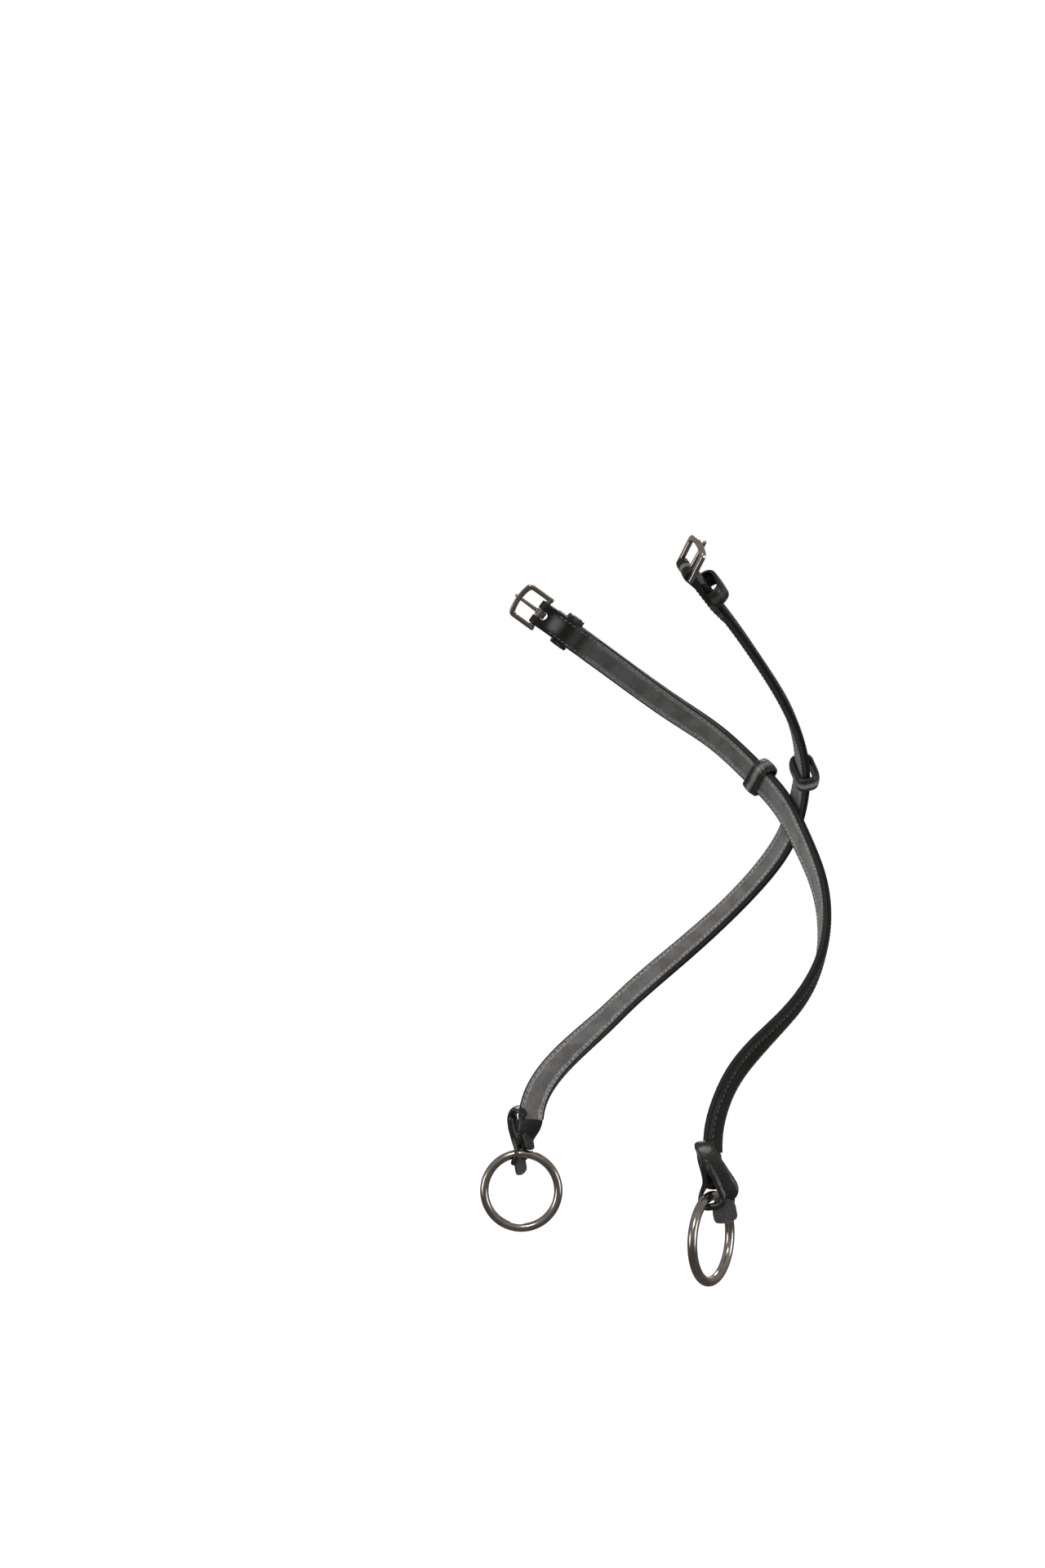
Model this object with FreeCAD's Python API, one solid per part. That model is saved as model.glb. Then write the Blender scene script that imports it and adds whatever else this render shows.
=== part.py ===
import FreeCAD, Part
import math
import os

# Crossed throat martingale: two leather straps that cross behind the jaw. Each buckles to the
# throatlash on one side of the head, and holds a rein ring at the cheek on the other side.
# Millimetres. +X is the horse's left, +Y is towards its neck, +Z is up. The origin is midway
# between the two buckles. A strap is named after the side its rein ring is on.

V = FreeCAD.Vector

# Strap: two plies, face to the outside, lining to the head. Heights are measured outwards from
# the seam between the plies.
STRAP_W = 15.0
FACE_LOW, FACE_EDGE, FACE_SHOULDER, FACE_TOP = 0.15, 1.7, 2.25, 2.55
LINING_LOW, LINING_TOP = -2.4, -0.2
EDGE_ROUND = 0.55
RAISED_W = 8.0
STRAP_END_GAP = 1.3
STATION_STEP = 5.0

# Thread of the two seams, standing just proud of the face ply.
THREAD_Y, THREAD_W, THREAD_LOW, THREAD_TOP = 5.6, 0.7, 2.47, 2.77
THREAD_START, THREAD_END_GAP = 9.0, 6.0

# Chape: the leather fold that holds the buckle bar, with its turn-back on the lining side.
CHAPE_L, CHAPE_W, CHAPE_LOW, CHAPE_TOP = 36.0, 14.8, -3.7, -0.3
CHAPE_PLY = 1.8
FOLD_END = 9.0
FACE_START = 7.8
LINING_START = CHAPE_L + 0.3
SLOT_W, SLOT_R, SLOT_END = 4.8, 3.6, 6.2

# Buckle: cast frame with a round bar, and a tongue with an eye round the bar.
BAR_R, BAR_Z = 1.5, -1.85
BAR_FIT = 0.08
BUCKLE_L = 15.0
FRAME_IN_W, FRAME_RAIL, FRAME_T, FRAME_EDGE = 16.4, 2.8, 2.6, 0.85
FRONT_BOW = 0.8
TONGUE_EYE_R, TONGUE_EYE_W = 3.1, 3.6
TONGUE_ROOT_R, TONGUE_TIP_R = 1.3, 0.95
TONGUE_ROOT_Z, TONGUE_TIP_Z = 2.1, 2.55
TONGUE_L = 17.0

# Keepers: a fixed one behind the buckle and a sliding runner further down.
KEEPER_L, KEEPER_T, KEEPER_BASE_T = 10.0, 2.0, 1.0
KEEPER_START, KEEPER_POCKET = 14.0, 0.2
KEEPER_IN_W, KEEPER_IN_TOP, KEEPER_IN_LOW = 16.6, 6.9, -0.2
KEEPER_ROUND = 2.4
RUNNER_T, RUNNER_IN_W = 1.7, 16.2
RUNNER_IN_LOW, RUNNER_IN_TOP = -3.0, 5.8
RUNNER_ROUND = 1.6

# Rein ring and the slit tab that holds it.
RING_R, RING_WIRE_R, RING_FACING = 21.5, 2.5, 29.0
RING_CENTRE = V(96, -1, -336)
RING_GAP = 0.5

# Routes: (x, y, z, facing). Facing is the compass angle of the face ply, counter-clockwise from
# +X seen from above. The first three points of each route are a straight stretch at the buckle.
LEFT_ROUTE = [
    (-79, 2, -2, 128), (-73, 20, -15, 128), (-67, 38, -28, 128), (-50, 78, -58, 108),
    (-39, 97, -73, 98), (-24, 110, -91, 91), (-5, 117, -110, 85), (15, 117, -132, 79),
    (33, 115, -155, 73), (52, 105, -179, 70), (69, 87, -202, 65), (78, 65, -222, 59),
    (79, 45, -238, 53), (82, 24, -255, 46), (87, 11, -270, 37), (90, 5, -282, 31),
    (92, 3, -295, 31),
]
RIGHT_ROUTE = [
    (82, -5, 4, 77), (76, 13, -9, 77), (70, 31, -22, 77), (62, 52, -38, 78),
    (50, 78, -58, 77), (38, 96, -73, 77), (23, 112, -91, 79), (4, 124, -110, 83),
    (-14, 128, -132, 83), (-32, 121, -155, 81), (-51, 106, -179, 82), (-69, 87, -202, 91),
    (-78, 65, -222, 103), (-79, 45, -238, 108), (-82, 24, -255, 114), (-87, 11, -270, 128),
    (-90, 5, -282, 142), (-92, 3, -295, 149),
]

# Slit tab, drawn for the left side: (x, y, z, facing, width, thickness).
TAB_EDGE = 1.0
TAB_ROUTE = [
    (92.1, 2.8, -295.5, 31, 15.0, 4.6), (94, 0.8, -304, 5, 14.6, 4.6),
    (96, -1, -314.5, -25, 15.6, 4.4), (98.5, 3.6, -328, -28, 13.0, 3.2),
]


class Route:
    """A smooth line in space, with the direction that the strap's face looks along it."""

    def __init__(self, rows):
        points = [V(*row[:3]) for row in rows]
        rail = [V(x + math.cos(math.radians(facing)), y + math.sin(math.radians(facing)), z)
                for x, y, z, facing in rows]
        self.lengths = [0.0]
        for a, b in zip(points, points[1:]):
            self.lengths.append(self.lengths[-1] + (b - a).Length)
        self.length = self.lengths[-1]
        self.line = Part.BSplineCurve()
        self.line.interpolate(Points=points, Parameters=self.lengths)
        self.rail = Part.BSplineCurve()
        self.rail.interpolate(Points=rail, Parameters=self.lengths)

    def place(self, s):
        """Placement at length s: x along the strap, y across it, z out of its face."""
        along = V(self.line.tangent(s)[0])
        along.normalize()
        at = self.line.value(s)
        out = self.rail.value(s) - at
        out = out - along * out.dot(along)
        out.normalize()
        side = out.cross(along)
        return FreeCAD.Placement(FreeCAD.Matrix(
            along.x, side.x, out.x, at.x,
            along.y, side.y, out.y, at.y,
            along.z, side.z, out.z, at.z,
            0, 0, 0, 1))


def steps(start, end):
    count = max(2, math.ceil((end - start) / STATION_STEP))
    return [start + (end - start) * i / count for i in range(count + 1)]


def section(outline, place):
    """Closed wire of an outline of (y, z) points, set across the strap at a place."""
    points = [place.multVec(V(0, y, z)) for y, z in outline]
    return Part.makePolygon(points + points[:1])


def band(route, start, end, outline):
    """Solid with one outline all the way along a route."""
    wires = [section(outline, route.place(s)) for s in steps(start, end)]
    return Part.makeLoft(wires, True, True)


def rounded_outline(half_w, low, high, cut):
    """Rectangle with its corners cut, as (y, z) points."""
    return [
        (-half_w + cut, low), (half_w - cut, low), (half_w, low + cut), (half_w, high - cut),
        (half_w - cut, high), (-half_w + cut, high), (-half_w, high - cut), (-half_w, low + cut),
    ]


def extruded(edges, direction):
    return Part.Face(Part.Wire(edges)).extrude(direction)


def line(a, b):
    return Part.makeLine(V(*a), V(*b))


def arc(a, mid, b):
    return Part.Arc(V(*a), V(*mid), V(*b)).toShape()


def strap_face(route):
    half = STRAP_W / 2
    outline = [
        (-half, FACE_LOW), (half, FACE_LOW), (half, FACE_EDGE), (half - EDGE_ROUND, FACE_SHOULDER),
        (RAISED_W / 2 + 0.6, FACE_SHOULDER), (RAISED_W / 2 - 0.6, FACE_TOP),
        (-RAISED_W / 2 + 0.6, FACE_TOP), (-RAISED_W / 2 - 0.6, FACE_SHOULDER),
        (-half + EDGE_ROUND, FACE_SHOULDER), (-half, FACE_EDGE),
    ]
    return band(route, FACE_START, route.length - STRAP_END_GAP, outline)


def strap_lining(route):
    half = STRAP_W / 2
    outline = [
        (-half, LINING_TOP), (-half, LINING_LOW + EDGE_ROUND), (-half + EDGE_ROUND, LINING_LOW),
        (half - EDGE_ROUND, LINING_LOW), (half, LINING_LOW + EDGE_ROUND), (half, LINING_TOP),
    ]
    return band(route, LINING_START, route.length - STRAP_END_GAP, outline)


def seam_thread(route, side):
    inner = side * (THREAD_Y - THREAD_W / 2)
    outer = side * (THREAD_Y + THREAD_W / 2)
    outline = [(inner, THREAD_LOW), (outer, THREAD_LOW), (outer, THREAD_TOP), (inner, THREAD_TOP)]
    return band(route, THREAD_START, route.length - THREAD_END_GAP, outline)


def bar_rod(radius, width):
    """Rod on the buckle bar's axis, in the strap's own axes at the buckle."""
    return Part.makeCylinder(radius, width, V(0, -width / 2, BAR_Z), V(0, 1, 0))


def chape():
    fold = BAR_R + BAR_FIT + CHAPE_PLY
    y = -CHAPE_W / 2
    edges = [
        line((CHAPE_L, y, CHAPE_LOW), (FOLD_END, y, CHAPE_LOW)),
        line((FOLD_END, y, CHAPE_LOW), (0, y, BAR_Z - fold)),
        arc((0, y, BAR_Z - fold), (-fold, y, BAR_Z), (0, y, BAR_Z + fold)),
        line((0, y, BAR_Z + fold), (FOLD_END - 1.5, y, CHAPE_TOP)),
        line((FOLD_END - 1.5, y, CHAPE_TOP), (CHAPE_L, y, CHAPE_TOP)),
        line((CHAPE_L, y, CHAPE_TOP), (CHAPE_L, y, CHAPE_LOW)),
    ]
    body = extruded(edges, V(0, CHAPE_W, 0))
    body = body.cut(bar_rod(BAR_R + BAR_FIT, CHAPE_W + 2))
    body = body.cut(bar_rod(SLOT_R, SLOT_W))
    slot_h = 2 * (SLOT_R + 0.5)
    square_end = SLOT_END - SLOT_W / 2
    slot = Part.makeBox(square_end, SLOT_W, slot_h, V(0, -SLOT_W / 2, BAR_Z - slot_h / 2))
    slot_end = Part.makeCylinder(SLOT_W / 2, slot_h, V(square_end, 0, BAR_Z - slot_h / 2))
    body = body.cut(slot.fuse(slot_end))
    pocket = Part.makeBox(
        KEEPER_L + 2 * KEEPER_POCKET, CHAPE_W + 2, 3,
        V(KEEPER_START - KEEPER_POCKET, -CHAPE_W / 2 - 1, KEEPER_IN_LOW - KEEPER_BASE_T - 0.15))
    return body.cut(pocket)


def fixed_keeper():
    half_in = KEEPER_IN_W / 2
    half_out = half_in + KEEPER_T
    base = KEEPER_IN_LOW - KEEPER_BASE_T
    top = KEEPER_IN_TOP + KEEPER_T
    outer = Part.makeBox(KEEPER_L, 2 * half_out, top - base, V(KEEPER_START, -half_out, base))
    upper = [e for e in outer.Edges if is_along_x(e) and e.BoundBox.ZMin > base + 1]
    outer = outer.makeFillet(KEEPER_ROUND, upper)
    inner = Part.makeBox(
        KEEPER_L + 2, 2 * half_in, KEEPER_IN_TOP - KEEPER_IN_LOW, V(KEEPER_START - 1, -half_in, KEEPER_IN_LOW))
    upper = [e for e in inner.Edges if is_along_x(e) and e.BoundBox.ZMin > KEEPER_IN_LOW + 1]
    return outer.cut(inner.makeFillet(KEEPER_ROUND - 1, upper))


def is_along_x(edge):
    box = edge.BoundBox
    return box.YLength < 0.01 and box.ZLength < 0.01


def runner_keeper(route, middle):
    start, end = middle - KEEPER_L / 2, middle + KEEPER_L / 2
    half_in = RUNNER_IN_W / 2
    outer = rounded_outline(
        half_in + RUNNER_T, RUNNER_IN_LOW - RUNNER_T, RUNNER_IN_TOP + RUNNER_T, RUNNER_ROUND)
    inner = rounded_outline(half_in, RUNNER_IN_LOW, RUNNER_IN_TOP, RUNNER_ROUND / 2)
    return band(route, start, end, outer).cut(band(route, start - 1, end + 1, inner))


def buckle_frame(tilt):
    """Flat frame with a bowed front bar, turned about its bar by tilt degrees."""
    half_in = FRAME_IN_W / 2
    half_out = half_in + FRAME_RAIL
    front = -BUCKLE_L - FRAME_RAIL / 2 + FRONT_BOW / 2
    back = BAR_R + 0.5
    low = -FRAME_T / 2
    corner, inner_corner = 3.8, 2.0
    diagonal = math.sqrt(0.5)
    bend_x, bend_y = front + corner, half_out - corner
    inner_front = front + FRAME_RAIL + 0.2
    inner_x, inner_y = inner_front + inner_corner, half_in - inner_corner
    edges = []
    for y_sign in (1, -1):
        side = [
            line((back, y_sign * half_out, low), (bend_x, y_sign * half_out, low)),
            arc((bend_x, y_sign * half_out, low),
                (bend_x - corner * diagonal, y_sign * (bend_y + corner * diagonal), low),
                (front, y_sign * bend_y, low)),
            line((back, y_sign * half_out, low), (back, y_sign * half_in, low)),
            line((back, y_sign * half_in, low), (inner_x, y_sign * half_in, low)),
            arc((inner_x, y_sign * half_in, low),
                (inner_x - inner_corner * diagonal, y_sign * (inner_y + inner_corner * diagonal), low),
                (inner_front, y_sign * inner_y, low)),
        ]
        edges.extend(side)
    edges.append(arc((front, bend_y, low), (front - FRONT_BOW, 0, low), (front, -bend_y, low)))
    edges.append(arc((inner_front, inner_y, low), (inner_front - FRONT_BOW, 0, low), (inner_front, -inner_y, low)))
    wire = Part.Wire(Part.__sortEdges__(edges))
    plate = Part.Face(wire).extrude(V(0, 0, FRAME_T))
    plate = plate.makeFillet(FRAME_EDGE, plate.Edges)
    bar = Part.makeCylinder(BAR_R, FRAME_IN_W + FRAME_RAIL, V(0, -(FRAME_IN_W + FRAME_RAIL) / 2, 0), V(0, 1, 0))
    return on_bar(plate.fuse(bar).removeSplitter(), tilt)


def buckle_tongue(tilt):
    eye = Part.makeCylinder(TONGUE_EYE_R, TONGUE_EYE_W, V(0, -TONGUE_EYE_W / 2, 0), V(0, 1, 0))
    root = V(0, 0, TONGUE_ROOT_Z)
    tip = V(-TONGUE_L, 0, TONGUE_TIP_Z)
    shank = Part.makeCone(TONGUE_ROOT_R, TONGUE_TIP_R, (tip - root).Length, root, tip - root)
    body = eye.fuse([shank, Part.makeSphere(TONGUE_TIP_R, tip), Part.makeSphere(TONGUE_ROOT_R, root)])
    bore = Part.makeCylinder(BAR_R + BAR_FIT, TONGUE_EYE_W + 8, V(0, -TONGUE_EYE_W / 2 - 4, 0), V(0, 1, 0))
    return on_bar(body.cut(bore), tilt)


def on_bar(shape, tilt):
    """Turn a buckle piece about the bar and put it on the bar's axis."""
    turned = shape.copy()
    turned.rotate(V(0, 0, 0), V(0, 1, 0), tilt)
    turned.translate(V(0, 0, BAR_Z))
    return turned


def ring_across(side):
    """Level direction in the ring's plane."""
    angle = math.radians(RING_FACING + 90)
    return V(side * math.cos(angle), math.sin(angle), 0)


def ring_solid(side, wire_r):
    centre = V(side * RING_CENTRE.x, RING_CENTRE.y, RING_CENTRE.z)
    return Part.makeTorus(RING_R, wire_r, centre, ring_across(side).cross(V(0, 0, 1)))


def hitch_tab(side):
    rows = []
    for x, y, z, facing, width, thick in TAB_ROUTE:
        rows.append((side * x, y, z, facing if side > 0 else 180 - facing))
    route = Route(rows)
    wires = []
    for s, (x, y, z, facing, width, thick) in zip(route.lengths, TAB_ROUTE):
        wires.append(section(rounded_outline(width / 2, -thick / 2, thick / 2, TAB_EDGE), route.place(s)))
    tab = Part.makeLoft(wires, True, False)
    return tab.cut(ring_solid(side, RING_WIRE_R + RING_GAP))


def save(name, shape):
    if shape.ShapeType != "Solid":
        shape = shape.Solids[0]
    shape.exportStep(f"parts/{name}.step")


def build_side(name, side, rows, buckle_tilt, runner_at):
    route = Route(rows)
    at_buckle = route.place(0)
    save(f"{name}_strap_face", strap_face(route))
    save(f"{name}_strap_lining", strap_lining(route))
    save(f"{name}_thread_front", seam_thread(route, 1))
    save(f"{name}_thread_back", seam_thread(route, -1))
    save(f"{name}_runner_keeper", runner_keeper(route, runner_at))
    save(f"{name}_hitch_tab", hitch_tab(side))
    save(f"{name}_rein_ring", ring_solid(side, RING_WIRE_R))
    buckle_pieces = {
        "chape": chape(),
        "fixed_keeper": fixed_keeper(),
        "buckle_frame": buckle_frame(buckle_tilt),
        "buckle_tongue": buckle_tongue(buckle_tilt),
    }
    for piece, shape in buckle_pieces.items():
        shape.Placement = at_buckle.multiply(shape.Placement)
        save(f"{name}_{piece}", shape)


os.makedirs("parts", exist_ok=True)
build_side("left", 1, LEFT_ROUTE, buckle_tilt=0, runner_at=160)
build_side("right", -1, RIGHT_ROUTE, buckle_tilt=57, runner_at=170)
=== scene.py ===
import math

import bmesh
import bpy
import numpy as np
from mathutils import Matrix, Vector


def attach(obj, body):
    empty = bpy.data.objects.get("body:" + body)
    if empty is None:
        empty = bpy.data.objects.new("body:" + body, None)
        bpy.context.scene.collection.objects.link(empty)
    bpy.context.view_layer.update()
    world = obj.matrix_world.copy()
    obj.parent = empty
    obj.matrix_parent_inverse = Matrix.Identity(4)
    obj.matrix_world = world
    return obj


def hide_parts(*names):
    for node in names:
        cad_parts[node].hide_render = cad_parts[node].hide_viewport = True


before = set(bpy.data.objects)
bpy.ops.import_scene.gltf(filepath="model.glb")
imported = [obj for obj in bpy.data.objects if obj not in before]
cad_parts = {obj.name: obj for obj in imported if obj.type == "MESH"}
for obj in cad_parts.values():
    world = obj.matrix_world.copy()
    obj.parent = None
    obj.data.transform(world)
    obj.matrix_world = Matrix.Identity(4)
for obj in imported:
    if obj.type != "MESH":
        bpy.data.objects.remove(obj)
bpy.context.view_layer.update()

# Looks of the crossed throat martingale. Leather is worked out in millimetres, in the strap's own
# axes (along it, across it, out of its face), then set along the strap's route in space.
MM = 0.001
rng = np.random.default_rng(17)

# Strap, as in the CAD: (x, y, z, facing), facing being the compass angle of the face ply.
ROUTES = {
    "left": [
        (-79, 2, -2, 128), (-73, 20, -15, 128), (-67, 38, -28, 128), (-50, 78, -58, 108),
        (-39, 97, -73, 98), (-24, 110, -91, 91), (-5, 117, -110, 85), (15, 117, -132, 79),
        (33, 115, -155, 73), (52, 105, -179, 70), (69, 87, -202, 65), (78, 65, -222, 59),
        (79, 45, -238, 53), (82, 24, -255, 46), (87, 11, -270, 37), (90, 5, -282, 31),
        (92, 3, -295, 31),
    ],
    "right": [
        (82, -5, 4, 77), (76, 13, -9, 77), (70, 31, -22, 77), (62, 52, -38, 78),
        (50, 78, -58, 77), (38, 96, -73, 77), (23, 112, -91, 79), (4, 124, -110, 83),
        (-14, 128, -132, 83), (-32, 121, -155, 81), (-51, 106, -179, 82), (-69, 87, -202, 91),
        (-78, 65, -222, 103), (-79, 45, -238, 108), (-82, 24, -255, 114), (-87, 11, -270, 128),
        (-90, 5, -282, 142), (-92, 3, -295, 149),
    ],
}
RUNNER_AT = {"left": 160, "right": 170}
SIGN = {"left": 1, "right": -1}

STRAP_HALF = 7.5
FACE_LOW, FACE_HIGH = 0.06, 2.25
FACE_LOW_ROUND, FACE_HIGH_ROUND = 0.35, 0.8
LINING_LOW, LINING_HIGH = -2.4, -0.06
LINING_LOW_ROUND, LINING_HIGH_ROUND = 0.5, 0.35
RAISE, RAISE_HALF, RAISE_SLOPE = 0.42, 4.1, 1.1
SEAM_Y, SEAM_GROOVE, SEAM_GROOVE_HALF = 5.6, 0.2, 0.55
FACE_START, STRAP_END_GAP = 7.8, 1.3
LINING_START = 33.0
STATION, LINING_STATION = 1.2, 0.9
SURFACE = 0.05
WIDTH_WAVER = 0.006
GRAIN_ROUGH, NAP_ROUGH, EDGE_ROUGH = 0.012, 0.03, 0.025

STITCH_PITCH, STITCH_LENGTH, STITCH_R, STITCH_SLANT = 2.9, 2.25, 0.34, 0.16
SEAM_START, SEAM_END_GAP = 2.0, 3.0
SHORT_STITCH_PITCH, SHORT_STITCH_HALF = 2.4, 0.95
RUNNER_STITCH_R, HITCH_STITCH_R = 0.27, 0.3
STITCH_LIFT, LINING_STITCH_LIFT, LINING_STITCH_SUNK = 0.16, 0.04, 0.1

CHAPE_END, CHAPE_HALF, CHAPE_LOW, CHAPE_HIGH, CHAPE_PLY = 36.0, 7.4, -3.7, -0.3, 1.8
CHAPE_SKIVE_START, CHAPE_SKIVE_LOW, SKIVE_STEP = 25.0, -2.75, 3.0
CHAPE_ROUND, CHAPE_FLAT_HALF, FOLD_END = 0.75, 5.8, 9.0
BAR_R, BAR_FIT, BAR_Z = 1.5, 0.08, -1.85
SLOT_W, SLOT_END, SLOT_END_BACK = 5.0, 6.7, 4.3
CHAPE_EDGE_ROUND, CUT_REACH = 0.3, 9.0

KEEPER_START, KEEPER_LENGTH = 14.0, 10.0
KEEPER_IN_HALF, KEEPER_IN_LOW, KEEPER_IN_HIGH, KEEPER_T = 8.3, -0.25, 6.9, 1.9
RUNNER_IN_HALF, RUNNER_IN_LOW, RUNNER_IN_HIGH, RUNNER_T = 8.4, -3.35, 5.8, 1.6
KEEPER_CORNERS, KEEPER_DOME, KEEPER_CREASE_X, KEEPER_CREASE = (1.6, 4.2), 0.1, 3.55, 0.24
RUNNER_CORNERS, RUNNER_DOME, RUNNER_CREASE_X, RUNNER_CREASE = (1.9, 3.4), 0.75, 3.75, 0.3
LAP_AT, LAP_HALF, LAP_T = 4.0, 2.4, 0.35
KEEPER_PRESSED = 0.5

RING_TOP = (96, -1, -314.5)
HITCH_TURN = math.radians(60)


# ---------------------------------------------------------------- curves

def unit(vectors):
    return vectors / np.linalg.norm(vectors, axis=-1, keepdims=True)


def smooth_step(x, start, end):
    t = np.clip((x - start) / (end - start), 0, 1)
    return t * t * (3 - 2 * t)


class Spline:
    """Smooth curve through points at the given parameters, a parabola at each end."""

    def __init__(self, knots, points):
        gaps = np.diff(knots)
        slopes = np.diff(points, axis=0) / gaps[:, None]
        matrix = np.eye(len(knots))
        right = np.zeros(points.shape)
        for i in range(1, len(knots) - 1):
            before, after = gaps[i - 1], gaps[i]
            matrix[i, i - 1:i + 2] = after, 2 * (before + after), before
            right[i] = 3 * (after * slopes[i - 1] + before * slopes[i])
        right[0] = slopes[0] + (slopes[0] - slopes[1]) * gaps[0] / (gaps[0] + gaps[1])
        right[-1] = slopes[-1] + (slopes[-1] - slopes[-2]) * gaps[-1] / (gaps[-1] + gaps[-2])
        self.knots, self.points = knots, points
        self.tangents = np.linalg.solve(matrix, right)

    def at(self, s):
        """Points and tangents at the parameters s; straight on beyond either end."""
        inside = np.clip(s, self.knots[0], self.knots[-1])
        i = np.clip(np.searchsorted(self.knots, inside, side="right") - 1, 0, len(self.knots) - 2)
        gap = (self.knots[i + 1] - self.knots[i])[:, None]
        t = (inside - self.knots[i])[:, None] / gap
        p0, p1 = self.points[i], self.points[i + 1]
        m0, m1 = self.tangents[i] * gap, self.tangents[i + 1] * gap
        point = (
            (1 + 2 * t) * (1 - t) ** 2 * p0 + t * (1 - t) ** 2 * m0
            + t * t * (3 - 2 * t) * p1 + t * t * (t - 1) * m1
        )
        tangent = (6 * t * (t - 1) * (p0 - p1) + (1 - t) * (1 - 3 * t) * m0 + t * (3 * t - 2) * m1) / gap
        return point + tangent * (s - inside)[:, None], tangent


def chord_lengths(points):
    return np.concatenate([[0.0], np.cumsum(np.linalg.norm(np.diff(points, axis=0), axis=1))])


class Route:
    """A strap's line in space, with the direction its face looks along it."""

    def __init__(self, rows):
        rows = np.array(rows, float)
        points, facing = rows[:, :3], np.radians(rows[:, 3])
        rail = points + np.stack([np.cos(facing), np.sin(facing), np.zeros(len(rows))], 1)
        lengths = chord_lengths(points)
        self.length = lengths[-1]
        self.line = Spline(lengths, points)
        self.rail = Spline(lengths, rail)

    def axes(self, s):
        at, along = self.line.at(s)
        along = unit(along)
        out = self.rail.at(s)[0] - at
        out = unit(out - along * np.sum(out * along, axis=1, keepdims=True))
        return at, along, np.cross(out, along), out

    def warp(self, local):
        """Points given along, across and out of the strap, in space."""
        at, _, side, out = self.axes(local[:, 0])
        return at + side * local[:, 1:2] + out * local[:, 2:3]

    def straight(self, local):
        """The same for stiff pieces at the buckle, whose axes don't turn."""
        at, along, side, out = (v[0] for v in self.axes(np.zeros(1)))
        return at + np.outer(local[:, 0], along) + np.outer(local[:, 1], side) + np.outer(local[:, 2], out)


# ---------------------------------------------------------------- meshes

def ring_faces(rings, count, closed=False):
    """Quads between rings of points, capped at both ends unless the rings close on themselves."""
    faces = []
    for i in range(rings if closed else rings - 1):
        a, b = i * count, (i + 1) % rings * count
        for j in range(count):
            k = (j + 1) % count
            faces.append((a + j, a + k, b + k, b + j))
    if not closed:
        faces.append(tuple(range(count)))
        faces.append(tuple(range((rings - 1) * count, rings * count)))
    return faces


def make_mesh(name, points, faces):
    mesh = bpy.data.meshes.new(name)
    mesh.from_pydata(points.tolist(), [], faces)
    work = bmesh.new()
    work.from_mesh(mesh)
    bmesh.ops.recalc_face_normals(work, faces=work.faces)
    work.to_mesh(mesh)
    work.free()
    return mesh


def points_of(mesh):
    """The mesh's points as rows of an array."""
    co = np.zeros(len(mesh.vertices) * 3, np.float32)
    mesh.vertices.foreach_get("co", co)
    return co.reshape(-1, 3).astype(float)


def set_points(mesh, points):
    mesh.vertices.foreach_set("co", points.astype(np.float32).ravel())
    mesh.update()


def shade(mesh, angle=40):
    """Smooth all over but for edges sharper than the angle, in degrees."""
    mesh.polygons.foreach_set("use_smooth", [True] * len(mesh.polygons))
    mesh.set_sharp_from_angle(angle=math.radians(angle))


def applied(obj):
    """The object's mesh with its modifiers applied; the object goes."""
    bpy.context.view_layer.update()
    graph = bpy.context.evaluated_depsgraph_get()
    mesh = bpy.data.meshes.new_from_object(obj.evaluated_get(graph))
    bpy.data.objects.remove(obj)
    return mesh


def loose(mesh):
    """Object holding the mesh, in the scene but not yet a piece."""
    obj = bpy.data.objects.new(mesh.name, mesh)
    bpy.context.scene.collection.objects.link(obj)
    return obj


def piece(name, mesh, local, space, materials, body, nodes=(), angle=40):
    """Object whose points are local (in mm, kept for the materials) set in space by a function."""
    attribute = mesh.attributes.new("local", "FLOAT_VECTOR", "POINT")
    attribute.data.foreach_set("vector", local.astype(np.float32).ravel())
    set_points(mesh, space * MM)
    work = bmesh.new()
    work.from_mesh(mesh)
    bmesh.ops.recalc_face_normals(work, faces=work.faces)
    work.to_mesh(mesh)
    work.free()
    mesh.materials.clear()
    for material in materials:
        mesh.materials.append(material)
    shade(mesh, angle)
    mesh.name = name
    obj = bpy.data.objects.new(name, mesh)
    bpy.context.scene.collection.objects.link(obj)
    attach(obj, body)
    if nodes:
        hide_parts(*nodes)
    return obj


CORNER_POINTS = 5


def corner(centre_y, centre_z, radius, start, end):
    angles = np.radians(np.linspace(start, end, CORNER_POINTS))
    return [(centre_y + radius * math.cos(a), centre_z + radius * math.sin(a)) for a in angles]


def flat_points(flat, height, step, direction):
    """Points between the ends of a flat side, from one corner's end to the next corner's start."""
    count = max(1, round(2 * flat / step))
    return [(direction * (-flat + 2 * flat * i / count), height) for i in range(1, count)]


def rounded_section(half, low, high, low_round, high_round, low_step, high_step):
    """Closed outline of (y, z) points with round corners and stepped flats."""
    outline = corner(half - low_round, low + low_round, low_round, -90, 0)
    outline += corner(half - high_round, high - high_round, high_round, 0, 90)
    outline += flat_points(half - high_round, high, high_step, -1)
    outline += corner(-half + high_round, high - high_round, high_round, 90, 180)
    outline += corner(-half + low_round, low + low_round, low_round, 180, 270)
    outline += flat_points(half - low_round, low, low_step, 1)
    return np.array(outline)


def stations(start, end, step=STATION):
    return np.linspace(start, end, max(2, round((end - start) / step)) + 1)


def swept(section, lengths):
    """Local points and faces of one section carried along the lengths."""
    local = np.zeros((len(lengths), len(section), 3))
    local[:, :, 0] = lengths[:, None]
    local[:, :, 1:] = section[None]
    return local, ring_faces(len(lengths), len(section))


def flat_mesh(name, local, faces):
    return make_mesh(name, local.reshape(-1, 3), faces)


# ---------------------------------------------------------------- strap plies and seams

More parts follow.
